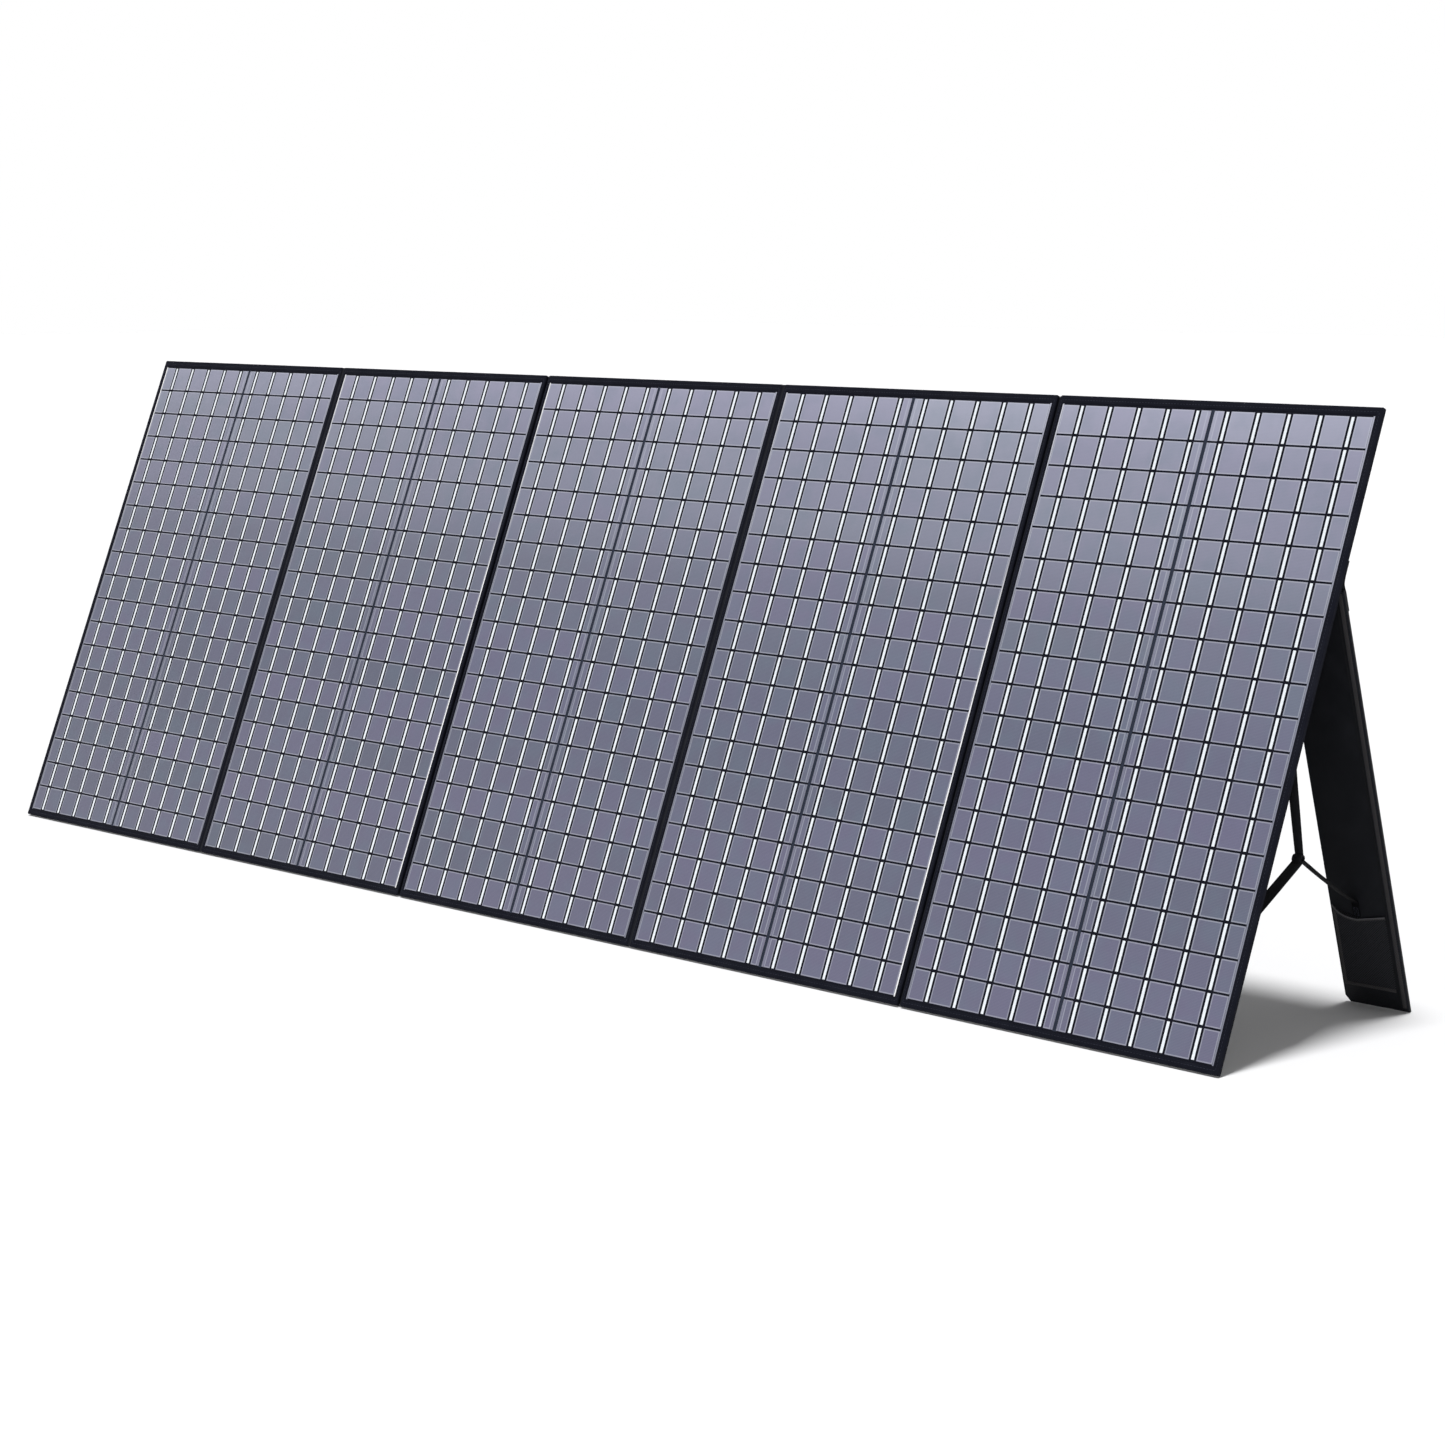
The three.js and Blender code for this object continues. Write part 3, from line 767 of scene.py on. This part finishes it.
def stand_stitches(k, side, place, outline):
    thread = Shell(place)
    inner = [(*p, -STAND_T - 0.02) for p in inset(outline, 4.5)]
    thread.stitches([*inner, inner[0]], (0, 0, -1), STITCH_PITCH, height=0.25, **FINE_STITCH)
    front = [(*p, 0.02) for p in inset(outline, 1.6)]
    thread.stitches([*front, front[0]], (0, 0, 1), STITCH_PITCH, height=0.25, **FINE_STITCH)
    half = STAND_W / 2
    x_in, x_out = -side * (half - POCKET_INSET - 2), side * (half - RIM_INSET - RIM_W - 3)
    x_foot = side * (half - STRAP_X - TIE_SLANT)
    for a, b in zip(*[iter(tie_box(x_foot))] * 2):
        thread.stitches([a, b], (0, 0, 1), pitch=2.6, length=2.0, width=0.5, height=0.3)
    hem_y, hem_z = -POCKET_BOTTOM + 2.5, 1.28
    thread.stitches([(x_in, hem_y, hem_z), (x_out, hem_y, hem_z)], (0, 0, 1), pitch=3.4, height=0.25,
                    **FINE_STITCH)
    for offset in (1.2, RIM_WEAVE - 1.2):
        x = side * (half - RIM_INSET - offset)
        thread.stitches([(x, -LEG_LENGTH + 10, RIM_T), (x, -STAND_TOP_GAP - 8, RIM_T)], (0, 0, 1),
                        STITCH_PITCH, height=0.1, **FINE_STITCH)
    thread.build(f"stand_{k}_stitches", f"stand_{k}", ["thread"], smooth=60)


def straps(k, side, place):
    """Webbing sewn to the panel's back at both ends and pulled out to a point, and a tie on to the stand."""
    x = panel_x(k) + side * (PANEL_W / 2 - STRAP_X)
    flat = BACK - CLEAR - STRAP_T / 2
    join = BACK - JOIN_DEPTH
    body = f"panel_{k}"
    webbing = Shell()
    arms = [(STRAP_HIGH, 1, (STRAP_W - 1, 11.5)), (STRAP_LOW, -1, (STRAP_W, STRAP_W - 2))]
    for end, sign, widths in arms:
        line = [(x, end + sign * STRAP_TAB * t, flat) for t in (1, 0.5, 0.05)]
        line.append((x, end - sign * 7, flat - 5.5))
        near, far = Vector(line[-1]), Vector((x, JOIN_Y + sign * 2.0, join))
        line += [tuple(near.lerp(far, t)) for t in (0.3, 0.6, 0.85, 1.0)]
        ribbon(webbing, curve(line, 4), widths, STRAP_T, grain=0.4)
    strap = webbing.build(f"stand_{k}_webbing", body, ["webbing"], replaces=[f"strap_webbing_{k}"],
                          smooth=50)
    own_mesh(strap)

    def to_leg(point):
        return place.inverted() @ (ROW @ Vector(point))

    start = to_leg((x, JOIN_Y, join + 1.5))
    loop_top = to_leg((x, JOIN_Y, join - 4))
    foot = Vector((side * (STAND_W / 2 - STRAP_X - TIE_SLANT), -POCKET_DIP + 4, 1.3))
    lift = foot + Vector((0, 22, 1.2))
    line = [start, loop_top]
    line += [loop_top.lerp(lift, t) + Vector((0, -2.5, 0)) * math.sin(math.pi * t) for t in (0.3, 0.6, 0.85)]
    line += [lift, foot + Vector((0, 14, 0.1)), foot + Vector((0, 5, 0)), foot]
    tie = Shell(place)
    ribbon(tie, curve(line, 6), TIE_W, TIE_T, grain=0.3)
    tie_piece = tie.build(f"stand_{k}_tie", f"stand_{k}", ["tie"], replaces=[f"strap_tie_{k}"],
                          smooth=50)
    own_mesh(tie_piece)

    keeper = Shell()
    cuff = [(x, JOIN_Y + 5 * math.cos(a), join + 2 + 4.2 * math.sin(a)) for a in
            [2 * math.pi * i / 16 for i in range(17)]]
    ribbon(keeper, cuff, 13, 1.3)
    piece = keeper.build(f"stand_{k}_strap_keeper", body, ["webbing"], smooth=50)
    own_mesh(piece)

    thread = Shell()
    for end, sign in ((STRAP_HIGH, 1), (STRAP_LOW, -1)):
        y0, y1 = end + sign * 5, end + sign * (STRAP_TAB - 3)
        w = STRAP_W / 2 - 3
        z = flat - STRAP_T / 2 - 0.02
        box = [(x - w, y0, z), (x + w, y0, z), (x + w, y1, z), (x - w, y1, z), (x - w, y0, z), (x + w, y1, z)]
        for path in (box, [box[1], box[3]]):
            thread.stitches(path, (0, 0, -1), pitch=3.4, length=2.5, width=0.5, height=0.15)
    thread.build(f"stand_{k}_strap_stitches", body, ["thread"], smooth=60)


def stand_hinge(k, middle):
    """Cloth hinge: sewn to the panel's back, over the stand's top edge and down its outer face."""
    half = STAND_W / 2
    axis_y = STAND_AXIS_H
    up = axis_y + STAND_TOP_GAP + HINGE_PATCH_H
    leg = leg_place(middle)
    back = ROW.inverted()
    down = [back @ (leg @ Vector((0, -d, -STAND_T - 0.7))) for d in (6, 14, 30)]
    line = [(0, up, BACK - 0.6), (0, up - 12, BACK - 0.75), (0, axis_y + 14, BACK - 1.1),
            (0, axis_y + 6, BACK - 3.2)]
    line += [(0, p.y, p.z) for p in down]
    shell = Shell()
    ribbon(shell, [Vector((middle, p[1], p[2])) for p in curve(line, 5)], STAND_W, 0.9)
    cloth = shell.build(f"stand_{k}_hinge_cloth", None, ["cover"], replaces=[f"stand_hinge_{k}"],
                        smooth=50)
    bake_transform(cloth)
    thread = Shell()
    x_left, x_right, z = middle - half + 3, middle + half - 3, BACK - 1.05
    for y in (up - 3, up - 10):
        thread.stitches([(x_left, y, z), (x_right, y, z)], (0, 0, -1), STITCH_PITCH, height=0.3,
                        **FINE_STITCH)
    thread.build(f"stand_{k}_hinge_stitches", f"panel_{k}", ["thread"], smooth=60)


# ---------- panels, hinges and stands ----------
for number in range(1, PANELS + 1):
    solar_face(number)
    edge_binding(number)
for number in range(1, PANELS):
    hinge_tape(number)
for number, which in STAND_PANELS.items():
    back_stand(number, which)

# ---------- junction box ----------
def box_shell(shell, x, y, steps):
    """Skins a moulded form through (inset, z) steps, closed at both ends."""
    loops = []
    for sink, z in steps:
        w, h = BOX_W / 2 - sink, BOX_H / 2 - sink
        loop = rounded_loop(x - w, y - h, x + w, y + h, max(BOX_R - sink, 2), 6, 4, 6)
        loops.append([(a, b, z) for a, b in loop])
    shell.rings(loops)


def junction_box():
    x_mid = panel_x(1) + BOX_X
    foot = BACK - CLEAR
    base_end = foot - BOX_T
    lid_start, lid_end = base_end - CLEAR, base_end - CLEAR - LID_T
    base = Shell()
    waist = [(0.5, foot), (0, foot - 0.5), (0, foot - 2.2), (0.9, foot - 3.0), (0.9, base_end + 2.6),
             (0, base_end + 1.8), (0, base_end + 0.4), (0.4, base_end)]
    box_shell(base, x_mid, BOX_Y, waist)
    base.build("junction_box_base_shell", "panel_1", ["plastic"], replaces=["junction_box_base"])
    lid = Shell()
    sunken = [(0.3, lid_start), (0, lid_start - 0.4), (0, lid_end + 0.9), (0.3, lid_end + 0.25),
              (1.0, lid_end), (13.5, lid_end), (14.3, lid_end + 0.7), (34, lid_end + 0.7)]
    box_shell(lid, x_mid, BOX_Y, sunken)
    lid.build("junction_box_lid_shell", "panel_1", ["plastic"], replaces=["junction_box_lid"])

    seat = lid_end - CLEAR
    heights = [(1.0, 0.0), (1.0, 0.55), (0.92, 0.8), (0.7, 1.0)]
    for n, (a, b) in enumerate(FOUR_CORNERS, 1):
        centre = (x_mid + a * (BOX_W / 2 - SCREW_INSET), BOX_Y + b * (BOX_H / 2 - SCREW_INSET))
        head = Shell()
        loops = [polar_loop(centre, seat - h * SCREW_HEAD_T, even(r * SCREW_HEAD_R)) for r, h in heights]
        loops += [polar_loop(centre, seat - h * SCREW_HEAD_T, cross_radius) for h in (0.98, 0.35)]
        head.rings(loops)
        head.build(f"lid_screw_head_{n}", "panel_1", ["metal"], replaces=[f"lid_screw_{n}"],
                   smooth=30)
    gland(x_mid + BOX_W / 2 + CLEAR, foot - GLAND_R - 0.4)


def polar_loop(centre, z, radius, steps=48):
    angles = [2 * math.pi * i / steps for i in range(steps)]
    return [(centre[0] + radius(t) * math.cos(t), centre[1] + radius(t) * math.sin(t), z) for t in angles]


def even(size):
    """A circle, as a distance from its middle."""
    return lambda t: size


def cross_radius(t, arm=1.5, half=0.32):
    """The outline of a cross recess, as a distance from its middle."""
    c, s = max(1e-6, abs(math.cos(t))), max(1e-6, abs(math.sin(t)))
    return max(min(arm / c, half / s), min(arm / s, half / c))


def gland(x_start, z_mid):
    """Cable gland: a hexagonal nut against the box, a ribbed dome nut and an open bore."""
    def hexagon(t):
        return GLAND_R * math.cos(math.pi / 6) / math.cos((t + math.pi / 6) % (math.pi / 3) - math.pi / 6)

    def ribbed(size):
        return lambda t: size + 0.2 * max(-0.5, min(0.5, 3 * math.sin(16 * t)))

    bore, dome = GLAND_BORE_R, GLAND_R - 1.6
    steps = [(even(bore), 0), (hexagon, 0), (hexagon, GLAND_NUT_L - 0.4), (even(dome), GLAND_NUT_L),
             (even(dome), GLAND_NUT_L + 0.8), (ribbed(dome), GLAND_NUT_L + 1.1),
             (ribbed(dome), GLAND_L - 4), (even(dome - 0.2), GLAND_L - 3.5),
             (even(dome - 0.5), GLAND_L - 1.5), (even(bore + 0.7), GLAND_L), (even(bore), GLAND_L - 0.4)]
    shell = Shell()
    loops = []
    for radius, along in steps:
        ring = polar_loop((0, 0), 0, radius, 96)
        loops.append([(x_start + along, BOX_Y + p[0], z_mid + p[1]) for p in ring])
    shell.rings(loops, wrap=True)
    shell.build("cable_gland_nut", "panel_1", ["nut"], replaces=["cable_gland"], smooth=30)


junction_box()

# ---------- CAD nodes that show as they are ----------
def dress(node, key):
    piece = frame["nodes"][node]
    if not piece.data.materials:
        piece.data.materials.append(M[key])
    for i in range(len(piece.material_slots)):
        piece.material_slots[i].material = M[key]


for number in range(1, PANELS + 1):
    dress(f"core_board_{number}", "board")
    dress(f"back_cover_{number}", "cover")

# ---------- floor, light and camera, in metres ----------
FLOOR_HALF, FLOOR_Z = 30, -0.0005
SUN_DIRECTION, SUN_STRENGTH, SUN_SPREAD = (0.0, -0.13, 1.0), 3.05, 10
SKY_WHITE_TO, SKY_DIM_FROM, SKY_DIM = 0.26, 0.42, 0.2  # the first two as the height of a direction
CAMERA_PLACE, CAMERA_AIM, CAMERA_LENS = (3.18, -3.109, 0.951), (0.223, 0, 0.292), 75.1


def pale_floor():
    corners = [(FLOOR_HALF * a, FLOOR_HALF * b, 0) for a, b in FOUR_CORNERS]
    mesh = bpy.data.meshes.new("floor")
    mesh.from_pydata(corners, [], [(0, 1, 2, 3)])
    g = Graph("floor_white", 0.9, Specular_IOR_Level=0.1)
    where = g.add("TexCoord").outputs["Object"]
    g.colour(g.mix(g.noise(where, 0.6), srgb(236, 236, 237), srgb(240, 240, 241)))
    mesh.materials.append(g.material)
    floor = bpy.data.objects.new("floor", mesh)
    floor.location.z = FLOOR_Z
    bpy.context.scene.collection.objects.link(floor)


def sun(name, direction, strength, spread):
    lamp = bpy.data.lights.new(name, "SUN")
    lamp.energy = strength
    lamp.angle = math.radians(spread)
    thing = bpy.data.objects.new(name, lamp)
    thing.rotation_euler = (-Vector(direction)).to_track_quat("-Z", "Y").to_euler()
    bpy.context.scene.collection.objects.link(thing)


def studio():
    """White surroundings up to head height and a dim ceiling, so the floor's shadow stays deep."""
    world = bpy.data.worlds.new("studio")
    world.use_nodes = True
    tree = world.node_tree
    direction = tree.nodes.new("ShaderNodeTexCoord")
    parts = tree.nodes.new("ShaderNodeSeparateXYZ")
    fade = tree.nodes.new("ShaderNodeMapRange")
    fade.interpolation_type = "SMOOTHSTEP"
    for socket, value in (("From Min", SKY_WHITE_TO), ("From Max", SKY_DIM_FROM), ("To Min", 1.0),
                          ("To Max", SKY_DIM)):
        fade.inputs[socket].default_value = value
    background = tree.nodes["Background"]
    background.inputs["Color"].default_value = (1, 1, 1, 1)
    tree.links.new(direction.outputs["Generated"], parts.inputs[0])
    tree.links.new(parts.outputs[2], fade.inputs["Value"])
    tree.links.new(fade.outputs[0], background.inputs["Strength"])
    bpy.context.scene.world = world


def camera():
    data = bpy.data.cameras.new("camera")
    data.sensor_width = 36
    data.lens = CAMERA_LENS
    data.clip_end = 100
    thing = bpy.data.objects.new("camera", data)
    thing.location = CAMERA_PLACE
    aim = Vector(CAMERA_AIM) - thing.location
    thing.rotation_euler = aim.to_track_quat("-Z", "Y").to_euler()
    bpy.context.scene.collection.objects.link(thing)
    bpy.context.scene.camera = thing


pale_floor()
sun("key", SUN_DIRECTION, SUN_STRENGTH, SUN_SPREAD)
studio()
bpy.context.scene.view_settings.view_transform = "Standard"
camera()
